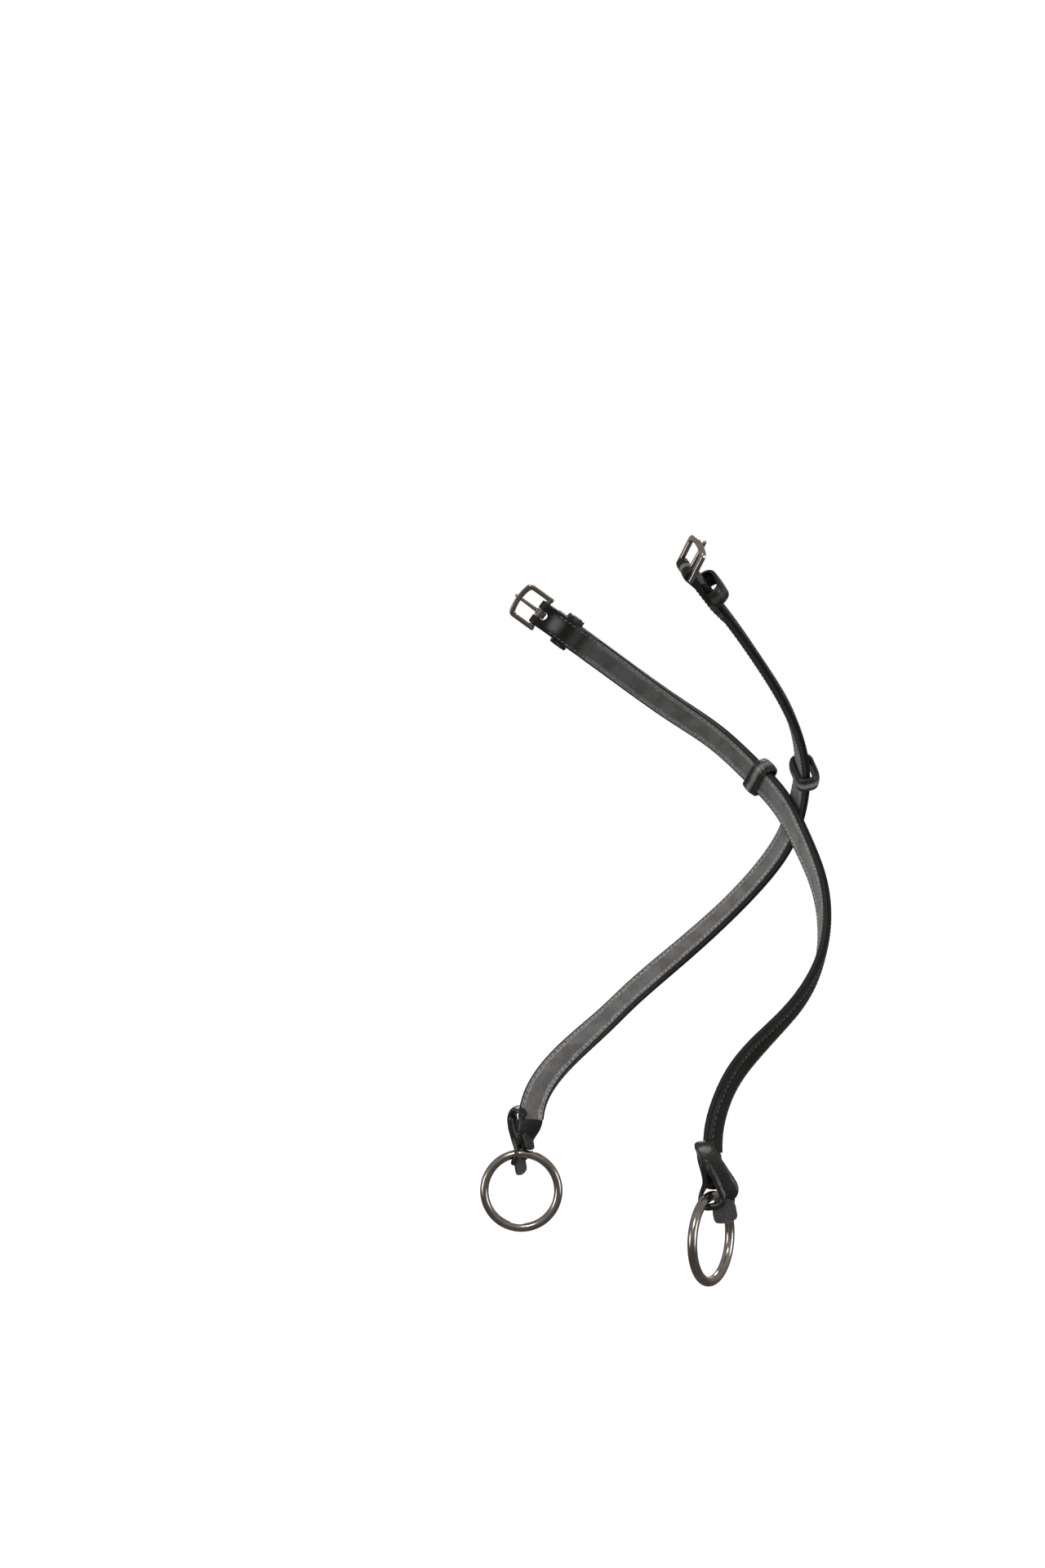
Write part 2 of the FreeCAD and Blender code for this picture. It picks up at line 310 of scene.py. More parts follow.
def face_height(y):
    """Height of the face ply's top above its shoulder: a raised middle and a groove at each seam."""
    across = np.abs(y)
    middle = RAISE * (1 - smooth_step(across, RAISE_HALF - RAISE_SLOPE, RAISE_HALF + RAISE_SLOPE))
    groove = SEAM_GROOVE * np.exp(-((across - SEAM_Y) / SEAM_GROOVE_HALF) ** 2)
    return middle - groove


def hand_made(local):
    """Small slow changes in a strap's width."""
    s = local[..., 0]
    local[..., 1] *= 1 + WIDTH_WAVER * (np.sin(s * 0.037 + 1) + 0.6 * np.sin(s * 0.083))
    return local


def strap_face(name, route, leather, raw):
    """The grain ply, with its two cut ends raw."""
    section = rounded_section(
        STRAP_HALF, FACE_LOW, FACE_HIGH, FACE_LOW_ROUND, FACE_HIGH_ROUND,
        low_step=2.0, high_step=0.42)
    on_top = section[:, 1] > FACE_HIGH - SURFACE
    section[on_top, 1] += face_height(section[on_top, 0])
    lengths = stations(FACE_START, route.length - STRAP_END_GAP)
    local, faces = swept(section, lengths)
    local = hand_made(local)
    local[:, :, 2] += np.where(on_top, rng.normal(0, GRAIN_ROUGH, local.shape[:2]), 0)
    mesh = flat_mesh(f"{name}_grain_ply", local, faces)
    local = local.reshape(-1, 3)
    obj = piece(f"{name}_grain_ply", mesh, local, route.warp(local), [leather, raw],
                f"{name}_strap", [f"{name}_strap_face"])
    for polygon in obj.data.polygons:
        if polygon.loop_total > 4:
            polygon.material_index = 1
            polygon.use_smooth = False


def lining_bow(y):
    """The lining's flesh side is a little fuller between the two seams than on them."""
    across = np.abs(y)
    return 0.14 * np.exp(-((across - SEAM_Y) / 0.7) ** 2) - 0.08 * (1 - smooth_step(across, 2.0, 5.0))


def strap_lining(name, route, suede):
    """The flesh ply, napped below and rough along its cut edges."""
    section = rounded_section(
        STRAP_HALF, LINING_LOW, LINING_HIGH, LINING_LOW_ROUND, LINING_HIGH_ROUND,
        low_step=0.5, high_step=2.0)
    below = section[:, 1] < LINING_LOW + SURFACE
    section[below, 1] += lining_bow(section[below, 0])
    lengths = stations(LINING_START, route.length - STRAP_END_GAP, LINING_STATION)
    local, faces = swept(section, lengths)
    local = hand_made(local)
    nap = rng.normal(0, NAP_ROUGH, local.shape[:2])
    local[:, :, 2] += np.where(below, nap, 0)
    sides = np.abs(section[:, 0]) > STRAP_HALF - 0.3
    local[:, :, 1] += np.where(sides, rng.normal(0, EDGE_ROUGH, local.shape[:2]), 0)
    mesh = flat_mesh(f"{name}_flesh_ply", local, faces)
    local = local.reshape(-1, 3)
    piece(f"{name}_flesh_ply", mesh, local, route.warp(local), [suede],
          f"{name}_strap", [f"{name}_strap_lining"], angle=60)


STITCH_RINGS, STITCH_SIDES, STITCH_DIP = 7, 6, 0.9


def stitch_shape():
    """One stitch along x, -1 to 1: a short round cord whose ends dip into the leather."""
    t = np.linspace(-1, 1, STITCH_RINGS)
    radius = np.sqrt(np.clip(1 - np.abs(t) ** 3.5, 0.02, 1))
    angle = np.arange(STITCH_SIDES) * 2 * math.pi / STITCH_SIDES
    shape = np.zeros((STITCH_RINGS, STITCH_SIDES, 3))
    shape[:, :, 0] = t[:, None]
    shape[:, :, 1] = radius[:, None] * np.cos(angle)
    shape[:, :, 2] = radius[:, None] * np.sin(angle) - (STITCH_DIP * np.abs(t) ** 3)[:, None]
    return shape, ring_faces(STITCH_RINGS, STITCH_SIDES)


def stitch_row(starts, y, height, radius, up, slant):
    """Local points of a row of stitches lying on a surface of the given height at each start."""
    shape, one = stitch_shape()
    rows, faces, per = [], [], shape.shape[0] * shape.shape[1]
    for i, (s, z) in enumerate(zip(starts, height)):
        stitch = shape.copy()
        half = STITCH_LENGTH / 2 * rng.uniform(0.93, 1.07)
        turn = slant * rng.uniform(0.7, 1.3)
        along = stitch[:, :, 0] * half
        across = stitch[:, :, 1] * radius + along * turn
        local = np.stack([s + along, y + across, z + up * stitch[:, :, 2] * radius], axis=2)
        rows.append(local.reshape(-1, 3))
        faces += [tuple(k + i * per for k in face) for face in one]
    return np.concatenate(rows), faces


def joined(parts):
    """Several (points, faces) as one."""
    points, faces, offset = [], [], 0
    for part_points, part_faces in parts:
        points.append(part_points)
        faces += [tuple(k + offset for k in face) for face in part_faces]
        offset += len(part_points)
    return np.concatenate(points), faces


def chape_depth(s):
    """Height of the turn-back's flesh-side surface, which is thinned out towards its end."""
    skive = smooth_step(s, CHAPE_SKIVE_START, CHAPE_END)
    return CHAPE_LOW + (CHAPE_SKIVE_LOW - CHAPE_LOW) * skive


def seam(name, row, y, route, thread):
    """Both sides of one seam: neat on the face, sunk in the nap on the lining."""
    end = route.length - STRAP_END_GAP - SEAM_END_GAP
    face_at = np.arange(FACE_START + SEAM_START, end, STITCH_PITCH)
    top = FACE_HIGH + face_height(np.full(len(face_at), y)) + STITCH_LIFT
    outer = stitch_row(face_at, y, top, STITCH_R, 1, STITCH_SLANT)
    lining_at = np.arange(FOLD_END + SEAM_START, end, STITCH_PITCH)
    on_fold, on_lining = chape_depth(lining_at) - LINING_STITCH_LIFT, LINING_LOW + LINING_STITCH_SUNK
    low = np.where(lining_at < CHAPE_END - 1, on_fold, on_lining)
    inner = stitch_row(lining_at, y, low, STITCH_R * 1.1, -1, -STITCH_SLANT)
    local, faces = joined([outer, inner])
    mesh = make_mesh(f"{name}_stitches_{row}", local, faces)
    piece(f"{name}_stitches_{row}", mesh, local, route.warp(local), [thread],
          f"{name}_strap", [f"{name}_thread_{row}"], angle=80)


# ---------------------------------------------------------------- buckle end

def softened(points, rounds):
    """Closed outline with its corners worn round."""
    for _ in range(rounds):
        points = points / 2 + (np.roll(points, 1, 0) + np.roll(points, -1, 0)) / 4
    return points


def even_loop(points, step):
    """Closed outline with points about a step apart."""
    closed = np.concatenate([points, points[:1]])
    lengths = chord_lengths(closed)
    wanted = np.linspace(0, lengths[-1], round(lengths[-1] / step) + 1)[:-1]
    return np.stack([np.interp(wanted, lengths, closed[:, k]) for k in range(2)], 1)


def chape_outline():
    """Side view of the leather folded round the bar, as (along, up)."""
    fold = BAR_R + BAR_FIT + CHAPE_PLY
    thinned = [*np.arange(CHAPE_END, CHAPE_SKIVE_START, -SKIVE_STEP), CHAPE_SKIVE_START]
    below = [(s, float(chape_depth(s))) for s in thinned]
    below.append((FOLD_END, CHAPE_LOW))
    arc = [(-fold * math.sin(a), BAR_Z - fold * math.cos(a)) for a in np.radians(np.arange(0, 181, 12))]
    above = [(FOLD_END - 1.5, CHAPE_HIGH), (CHAPE_END, CHAPE_HIGH)]
    return softened(even_loop(np.array(below + arc + above), 0.55), 3)


def prism(outline, axis_low, axis_high, upright):
    """Straight solid on an (a, b) outline: along z if upright, along y if not."""
    rings = []
    for height in (axis_low, axis_high):
        level = np.full(len(outline), height)
        parts = (outline[:, 0], outline[:, 1], level) if upright else (outline[:, 0], level, outline[:, 1])
        rings.append(np.stack(parts, 1))
    return loose(make_mesh("cutter", np.concatenate(rings), ring_faces(2, len(outline))))


def slot_outline(slot_end):
    """The tongue's slot seen from the face: open past the bar, round at its far end."""
    half = SLOT_W / 2
    bend = np.radians(np.linspace(-90, 90, 13))
    end = [(slot_end - half + half * math.cos(a), half * math.sin(a)) for a in bend]
    return np.array([(-CUT_REACH, -half)] + end + [(-CUT_REACH, half)])


def chape(name, route, leather):
    """Leather fold round the buckle bar, bored for it and slotted for the tongue."""
    outline = chape_outline()
    tangent = np.roll(outline, -1, 0) - np.roll(outline, 1, 0)
    inward = unit(np.stack([tangent[:, 1], -tangent[:, 0]], 1))
    if np.sum(inward * (outline.mean(0) - outline)) < 0:
        inward = -inward
    bend = np.radians(np.linspace(0, 90, 5))
    edge = [(CHAPE_HALF - CHAPE_ROUND * (1 - math.sin(a)), CHAPE_ROUND * (1 - math.cos(a))) for a in bend]
    across = [(-y, inset) for y, inset in reversed(edge)]
    across += [(y, 0.0) for y in np.linspace(-CHAPE_FLAT_HALF, CHAPE_FLAT_HALF, 13)]
    across += edge
    rings = [np.insert(outline + inward * inset, 1, y, axis=1) for y, inset in across]
    body = loose(make_mesh("chape", np.concatenate(rings), ring_faces(len(rings), len(outline))))
    bore_turn = np.radians(np.arange(0, 360, 10))
    bore = np.stack([np.cos(bore_turn), np.sin(bore_turn)], 1) * (BAR_R + BAR_FIT) + (0, BAR_Z)
    cutters = [
        prism(bore, -CUT_REACH, CUT_REACH, False),
        prism(slot_outline(SLOT_END_BACK), -CUT_REACH, BAR_Z + 0.2, True),
        prism(slot_outline(SLOT_END), BAR_Z, CUT_REACH, True),
    ]
    for cutter in cutters:
        cut = body.modifiers.new("cut", "BOOLEAN")
        cut.operation, cut.solver, cut.object = "DIFFERENCE", "MANIFOLD", cutter
    bevel = body.modifiers.new("worn_edges", "BEVEL")
    bevel.width, bevel.segments, bevel.limit_method = CHAPE_EDGE_ROUND, 3, "ANGLE"
    bevel.angle_limit = math.radians(50)
    mesh = applied(body)
    for cutter in cutters:
        bpy.data.objects.remove(cutter)
    local = points_of(mesh)
    piece(f"{name}_buckle_fold", mesh, local, route.straight(local), [leather],
          f"{name}_strap", [f"{name}_chape"], angle=50)


# ---------------------------------------------------------------- keepers

LOOP_STEP = 0.8


def loop_path(half, low, high, low_round, high_round):
    """Closed path round a strap with its outward normals, as (y, z)."""
    outline = rounded_section(half, low, high, low_round, high_round, LOOP_STEP, LOOP_STEP)
    outline = even_loop(outline, LOOP_STEP)
    tangent = unit(np.roll(outline, -1, 0) - np.roll(outline, 1, 0))
    return outline, np.stack([tangent[:, 1], -tangent[:, 0]], 1)


def keeper_profile(half, thick, dome, groove_at, groove):
    """Section of a keeper's leather: (along the strap, up from its inside), worked all round."""
    profile = rounded_section(half, 0, thick, 0.35, 0.55, 1.5, 0.4)
    top = profile[:, 1] > thick - SURFACE
    x = profile[:, 0]
    lift = dome * (1 - (x / half) ** 2) - groove * np.exp(-((np.abs(x) - groove_at) / 0.32) ** 2)
    profile[:, 1] += np.where(top, lift, 0)
    return profile


def keeper_mesh(name, middle, path, profile):
    """Local strap points of a loop, and its own (round it, along it, up) points for the materials."""
    points, normals = path
    lengths = chord_lengths(points)
    rings = len(points)
    local = np.zeros((rings, len(profile), 3))
    local[:, :, 0] = middle + profile[None, :, 0]
    local[:, :, 1] = points[:, None, 0] + normals[:, None, 0] * profile[None, :, 1]
    local[:, :, 2] = points[:, None, 1] + normals[:, None, 1] * profile[None, :, 1]
    own = np.zeros_like(local)
    own[:, :, 0] = lengths[:, None]
    own[:, :, 1] = profile[None, :, 0]
    own[:, :, 2] = profile[None, :, 1]
    faces = ring_faces(rings, len(profile), closed=True)
    return make_mesh(name, local.reshape(-1, 3), faces), local.reshape(-1, 3), own.reshape(-1, 3)


def fixed_keeper(name, route, leather):
    """Loop behind the buckle, its lower run pressed thin under the face ply."""
    path = loop_path(KEEPER_IN_HALF, KEEPER_IN_LOW, KEEPER_IN_HIGH, *KEEPER_CORNERS)
    profile = keeper_profile(KEEPER_LENGTH / 2, KEEPER_T, KEEPER_DOME, KEEPER_CREASE_X, KEEPER_CREASE)
    middle = KEEPER_START + KEEPER_LENGTH / 2
    mesh, local, own = keeper_mesh("keeper", middle, path, profile)
    base = local[:, 2] < KEEPER_IN_LOW
    local[base, 2] = KEEPER_IN_LOW + (local[base, 2] - KEEPER_IN_LOW) * KEEPER_PRESSED
    piece(f"{name}_keeper_loop", mesh, own, route.straight(local), [leather],
          f"{name}_strap", [f"{name}_fixed_keeper"])


def runner_stitches(name, middle, path, route, thread):
    """A row of stitches in each crease of the runner, all the way round."""
    points, normals = path
    lengths = chord_lengths(np.concatenate([points, points[:1]]))
    at = np.arange(1.0, lengths[-1], SHORT_STITCH_PITCH)
    shape, one = stitch_shape()
    parts = []
    for x in (-RUNNER_CREASE_X, RUNNER_CREASE_X):
        for s in at:
            stitch = shape.reshape(-1, 3) * (SHORT_STITCH_HALF, RUNNER_STITCH_R, RUNNER_STITCH_R)
            k = np.interp(s + stitch[:, 0], lengths, np.arange(len(lengths))) % len(points)
            low = np.floor(k).astype(int) % len(points)
            share = (k % 1)[:, None]
            base = points[low] * (1 - share) + points[(low + 1) % len(points)] * share
            out = normals[low] * (1 - share) + normals[(low + 1) % len(points)] * share
            up = (RUNNER_T + STITCH_LIFT + stitch[:, 2])[:, None]
            at_loop = base + out * up
            parts.append((np.column_stack([middle + x + stitch[:, 1], at_loop]), one))
    local, faces = joined(parts)
    mesh = make_mesh("runner_stitches", local, faces)
    piece(f"{name}_runner_stitches", mesh, local, route.warp(local), [thread],
          f"{name}_runner", angle=80)


def runner_keeper(name, route, leather, thread):
    """Sliding loop, a little thicker at one side, where its ends lap."""
    path = loop_path(RUNNER_IN_HALF, RUNNER_IN_LOW, RUNNER_IN_HIGH, *RUNNER_CORNERS)
    profile = keeper_profile(KEEPER_LENGTH / 2, RUNNER_T, RUNNER_DOME, RUNNER_CREASE_X, RUNNER_CREASE)
    mesh, local, own = keeper_mesh("runner", RUNNER_AT[name], path, profile)
    lap = LAP_T * (1 - smooth_step(np.abs(own[:, 0] - LAP_AT), 0.1, LAP_HALF))
    outside = own[:, 2] > RUNNER_T / 2
    pushed = local.copy()
    pushed[:, 1] += np.where(outside & (local[:, 1] > RUNNER_IN_HALF), lap, 0)
    piece(f"{name}_runner_loop", mesh, own, route.warp(pushed), [leather],
          f"{name}_runner", [f"{name}_runner_keeper"])
    runner_stitches(name, RUNNER_AT[name], path, route, thread)


# ---------------------------------------------------------------- slit and ring end

# The hitched strap end, in its own axes: across it, into it and up from the ring's top, in mm.
# A band is (across, into, up, side's rise, half width, thickness); a roll ends in its radius.
HITCH_BAND = [
    (-3.4, 4.2, 21.5, 0.10, 4.2, 2.6), (-4.0, 2.2, 25.6, 0.12, 4.5, 2.9),
    (-3.8, -1.4, 26.4, 0.16, 4.7, 3.1), (-3.0, -4.2, 23.0, 0.26, 5.0, 3.0),
    (-0.6, -5.4, 18.0, 0.36, 5.2, 2.7), (3.2, -5.8, 12.6, 0.40, 5.1, 2.6),
    (6.0, -5.7, 7.4, 0.36, 5.1, 2.6), (7.9, -5.2, 3.0, 0.30, 4.9, 2.8),
    (8.4, -3.8, -0.4, 0.28, 4.0, 3.0),
]
HITCH_NECK = [
    (1.5, 5.5, 22.0, 0.0, 7.3, 4.7), (1.2, 4.6, 15.5, 0.0, 6.9, 4.8),
    (1.8, 2.2, 9.5, 0.0, 6.2, 4.8), (2.4, 1.2, 5.6, 0.0, 5.6, 3.4),
]
NECK_TURN = [(0.485, 0.874), (0.70, 0.71), (0.90, 0.43), (0.96, 0.28)]
HITCH_CORE = [
    (6.4, -1.2, 11.0, 0.3, 3.8, 4.6), (8.0, -1.6, 5.0, 0.3, 3.6, 4.6),
    (8.2, -2.2, -1.0, 0.3, 3.6, 4.2), (7.0, -3.0, -4.5, 0.3, 4.2, 3.0),
]
HITCH_LIP = [
    (-3.9, -3.2, 22.5, 0.0, 4.0, 3.6), (-3.6, -3.3, 18.0, 0.0, 3.6, 3.4),
    (-2.9, -2.6, 13.0, 0.0, 2.9, 3.2), (-2.3, -1.6, 8.5, 0.0, 2.5, 3.0),
    (-2.1, -0.6, 5.0, 0.0, 2.2, 2.4),
]
HITCH_BACK = [
    (1.2, 2.6, 12.0, 0.0, 4.6, 2.2), (0.9, 4.6, 7.0, 0.0, 4.9, 2.0), (0.4, 5.9, 2.3, 0.0, 4.6, 1.7),
]
SLIT_ROLL = [
    (-4.4, -4.4, 20.5, 1.5), (-4.6, -4.4, 16.0, 1.9), (-3.6, -3.6, 11.0, 1.8),
    (-3.3, -2.3, 6.4, 1.6), (-5.1, -0.4, 1.2, 1.2), (-5.5, -1.0, -2.4, 1.3),
    (-3.6, -3.1, -5.1, 1.7), (0.2, -4.6, -4.7, 1.95), (3.7, -5.2, -3.7, 1.9),
    (5.3, -5.6, -0.8, 1.7), (3.9, -6.0, 3.6, 1.6), (1.5, -6.4, 9.0, 1.65),
    (-1.0, -6.1, 14.0, 1.6), (-3.0, -5.3, 18.6, 1.4),
]
RIGHT_ROLL = [
    (6.8, -5.2, 14.5, 0.9), (9.6, -4.9, 9.5, 1.5), (11.4, -4.6, 4.6, 2.0), (10.7, -4.2, 1.0, 1.9),
    (9.2, -3.9, -0.8, 1.2),
]
TAIL = [
    (6.9, -3.7, 0.2, 0.36, 3.5, 2.4), (6.2, -4.3, -3.6, 0.35, 5.7, 2.5),
    (6.4, -4.3, -8.0, 0.31, 6.2, 2.4), (7.3, -3.8, -11.8, 0.28, 5.6, 2.3),
    (7.6, -3.4, -13.2, 0.26, 4.6, 1.8),
]
HITCH_VOXEL, TAIL_VOXEL = 0.34, 0.4
HITCH_SMOOTHING, TAIL_SMOOTHING = 4, 3
BAND_STEP, BAND_POINTS, BAND_SQUARENESS = 0.6, 28, 2.6
ROLL_STEP, ROLL_POINTS = 0.7, 14


def round_section():
    """Closed outline, -1 to 1 both ways, between an ellipse and a rectangle."""
    a = np.arange(BAND_POINTS) * 2 * math.pi / BAND_POINTS
    c, s = np.cos(a), np.sin(a)
    power = 2 / BAND_SQUARENESS
    return np.stack([np.sign(c) * np.abs(c) ** power, np.sign(s) * np.abs(s) ** power], 1)


def band_frames(rows, turn=None):
    """Centres, axes and (rise, half width, thickness) along a band.

    turn is each row's direction across the band, seen from above.
    """
    rows = np.array(rows, float)
    if turn is None:
        turn = [(1.0, 0.0)] * len(rows)
    lengths = chord_lengths(rows[:, :3])
    wanted = stations(0, lengths[-1], BAND_STEP)
    centre, along = Spline(lengths, rows[:, :3]).at(wanted)
    shape = Spline(lengths, rows[:, 3:6]).at(wanted)[0]
    heading = Spline(lengths, np.column_stack([np.array(turn), np.zeros(len(rows))])).at(wanted)[0]
    side = np.column_stack([heading[:, 0], heading[:, 1], shape[:, 0]])
    along = unit(along)
    side = unit(side - along * np.sum(side * along, axis=1, keepdims=True))
    return centre, along, side, np.cross(side, along), shape


def hitch_band(rows, turn=None):
    """Flat leather along the rows, with round ends."""
    centre, _, side, up, shape = band_frames(rows, turn)
    section = round_section()
    ends = np.minimum(np.arange(len(centre)), np.arange(len(centre))[::-1])
    shrink = np.sqrt(np.clip(1 - (1 - np.minimum(ends / 3, 1)) ** 2, 0.12, 1))
    wide = (shape[:, 1] * shrink)[:, None, None] * section[None, :, :1] * side[:, None]
    thick = (shape[:, 2] / 2 * shrink)[:, None, None] * section[None, :, 1:] * up[:, None]
    return (centre[:, None] + wide + thick).reshape(-1, 3), ring_faces(len(centre), len(section))


def hitch_roll(rows, closed=False):
    """Round roll of leather along the rows."""
    rows = np.array(rows, float)
    if closed:
        rows = np.concatenate([rows, rows[:1]])
    lengths = chord_lengths(rows[:, :3])
    wanted = stations(0, lengths[-1], ROLL_STEP)
    if closed:
        wanted = wanted[:-1]
    centre, along = Spline(lengths, rows[:, :3]).at(wanted)
    radius = np.interp(wanted, lengths, rows[:, 3])
    along = unit(along)
    side = unit(np.cross(along, np.array([0.1, 1.0, 0.1])))
    up = np.cross(side, along)
    angle = np.arange(ROLL_POINTS) * 2 * math.pi / ROLL_POINTS
    ring = np.cos(angle)[None, :, None] * side[:, None] + np.sin(angle)[None, :, None] * up[:, None]
    points = (centre[:, None] + radius[:, None, None] * ring).reshape(-1, 3)
    return points, ring_faces(len(centre), len(angle), closed)


def melted(name, parts, voxel, rounds):
    """Overlapping solids run together into one skin, worn smooth."""
    points, faces = joined(parts)
    body = loose(make_mesh(name, points, faces))
    remesh = body.modifiers.new("skin", "REMESH")
    remesh.mode, remesh.voxel_size = "VOXEL", voxel
    smooth = body.modifiers.new("worn", "SMOOTH")
    smooth.factor, smooth.iterations = 0.5, rounds
    return applied(body)


def hitch_space(sign, local):
    """Hitch points in space; the right-hand one is the left-hand one's mirror image."""
    across = np.array([math.cos(HITCH_TURN), math.sin(HITCH_TURN), 0])
    into = np.array([-math.sin(HITCH_TURN), math.cos(HITCH_TURN), 0])
    space = np.array(RING_TOP, float) + np.outer(local[:, 0], across) + np.outer(local[:, 1], into)
    space[:, 2] += local[:, 2]
    space[:, 0] *= sign
    return space


def hitch_stitches(name, thread):
    """The strap's seam where it runs down the hitched band."""
    centre, along, side, up, shape = band_frames(HITCH_BAND)
    start, end = int(len(centre) * 0.42), int(len(centre) * 0.86)
    outward = np.where(up[:, 1:2] > 0, -up, up)
    base = centre - side * (shape[:, 1:2] * 0.42) + outward * (shape[:, 2:3] / 2 * 0.93)
    shape_one, one = stitch_shape()
    parts = []
    for i in range(start, end, 4):
        stitch = shape_one.reshape(-1, 3) * (SHORT_STITCH_HALF, HITCH_STITCH_R, HITCH_STITCH_R)
        placed = base[i] + np.outer(stitch[:, 0], along[i]) + np.outer(stitch[:, 1], side[i])
        parts.append((placed + np.outer(stitch[:, 2], outward[i]), one))
    local, faces = joined(parts)
    mesh = make_mesh("hitch_stitches", local, faces)
    piece(f"{name}_hitch_stitches", mesh, local, hitch_space(SIGN[name], local), [thread],
          f"{name}_strap", angle=80)


def hitch(name, leather, flesh, thread):
    """The slit end gathered into a knot round the ring, with the strap's tail beside it."""
    parts = [
        hitch_band(HITCH_BAND), hitch_band(HITCH_NECK, NECK_TURN), hitch_band(HITCH_CORE),
        hitch_band(HITCH_LIP), hitch_band(HITCH_BACK), hitch_roll(SLIT_ROLL, closed=True),
        hitch_roll(RIGHT_ROLL),
    ]
    mesh = melted("hitch", parts, HITCH_VOXEL, HITCH_SMOOTHING)
    local = points_of(mesh)
    piece(f"{name}_hitch_knot", mesh, local, hitch_space(SIGN[name], local), [leather],
          f"{name}_strap", [f"{name}_hitch_tab"], angle=70)
    mesh = melted("tail", [hitch_band(TAIL)], TAIL_VOXEL, TAIL_SMOOTHING)
    local = points_of(mesh)
    piece(f"{name}_hitch_tail", mesh, local, hitch_space(SIGN[name], local), [flesh],
          f"{name}_strap", angle=70)
    hitch_stitches(name, thread)


# ---------------------------------------------------------------- materials

# Colours, in linear light.
DRESSING = (0.0035, 0.0034, 0.0033), (0.0065, 0.0063, 0.0062)
DRESSING_RUBBED = (0.020, 0.0195, 0.019)
DRESSING_WORN = (0.032, 0.0315, 0.031)
# Lighter grey painted on the crowns of keepers and runners as a highlight.
PAINTED_CROWN_HIGHLIGHT = (0.19, 0.186, 0.182)
LEATHER_EDGE = (0.0055, 0.0054, 0.0053)
# Two painted highlights on the chape, then the fold's real fade to grey at its end.
SLOT_HIGHLIGHT = (0.095, 0.093, 0.091)
FOLD_HIGHLIGHT = (0.055, 0.054, 0.053)
FADED_AT_END = (0.045, 0.044, 0.043)
SUEDE = (0.031, 0.0305, 0.030), (0.072, 0.070, 0.069)
SUEDE_FIBRE = (0.115, 0.113, 0.111)
SUEDE_FINE = (0.022, 0.022, 0.021)
SUEDE_BAND = (0.145, 0.142, 0.139)
SUEDE_SPECK = (0.26, 0.255, 0.25)
SUEDE_PIT = (0.022, 0.022, 0.022)
SUEDE_FUZZ = (0.15, 0.147, 0.144)
EDGE_PAINT = (0.0062, 0.0060, 0.0059)
THREAD = (0.055, 0.054, 0.053), (0.15, 0.147, 0.144)
DARK_THREAD = (0.012, 0.012, 0.012), (0.04, 0.039, 0.038)
THREAD_TWIST_SHADE = (0.02, 0.02, 0.02)
STEEL = (0.46, 0.405, 0.36), (0.62, 0.57, 0.53)
STEEL_RUBBED = (0.33, 0.285, 0.255)
DRAPE = (0.10, 0.094, 0.088), (0.27, 0.26, 0.25)
FLESH_TONE, RAW_TONE = 0.034, 0.10


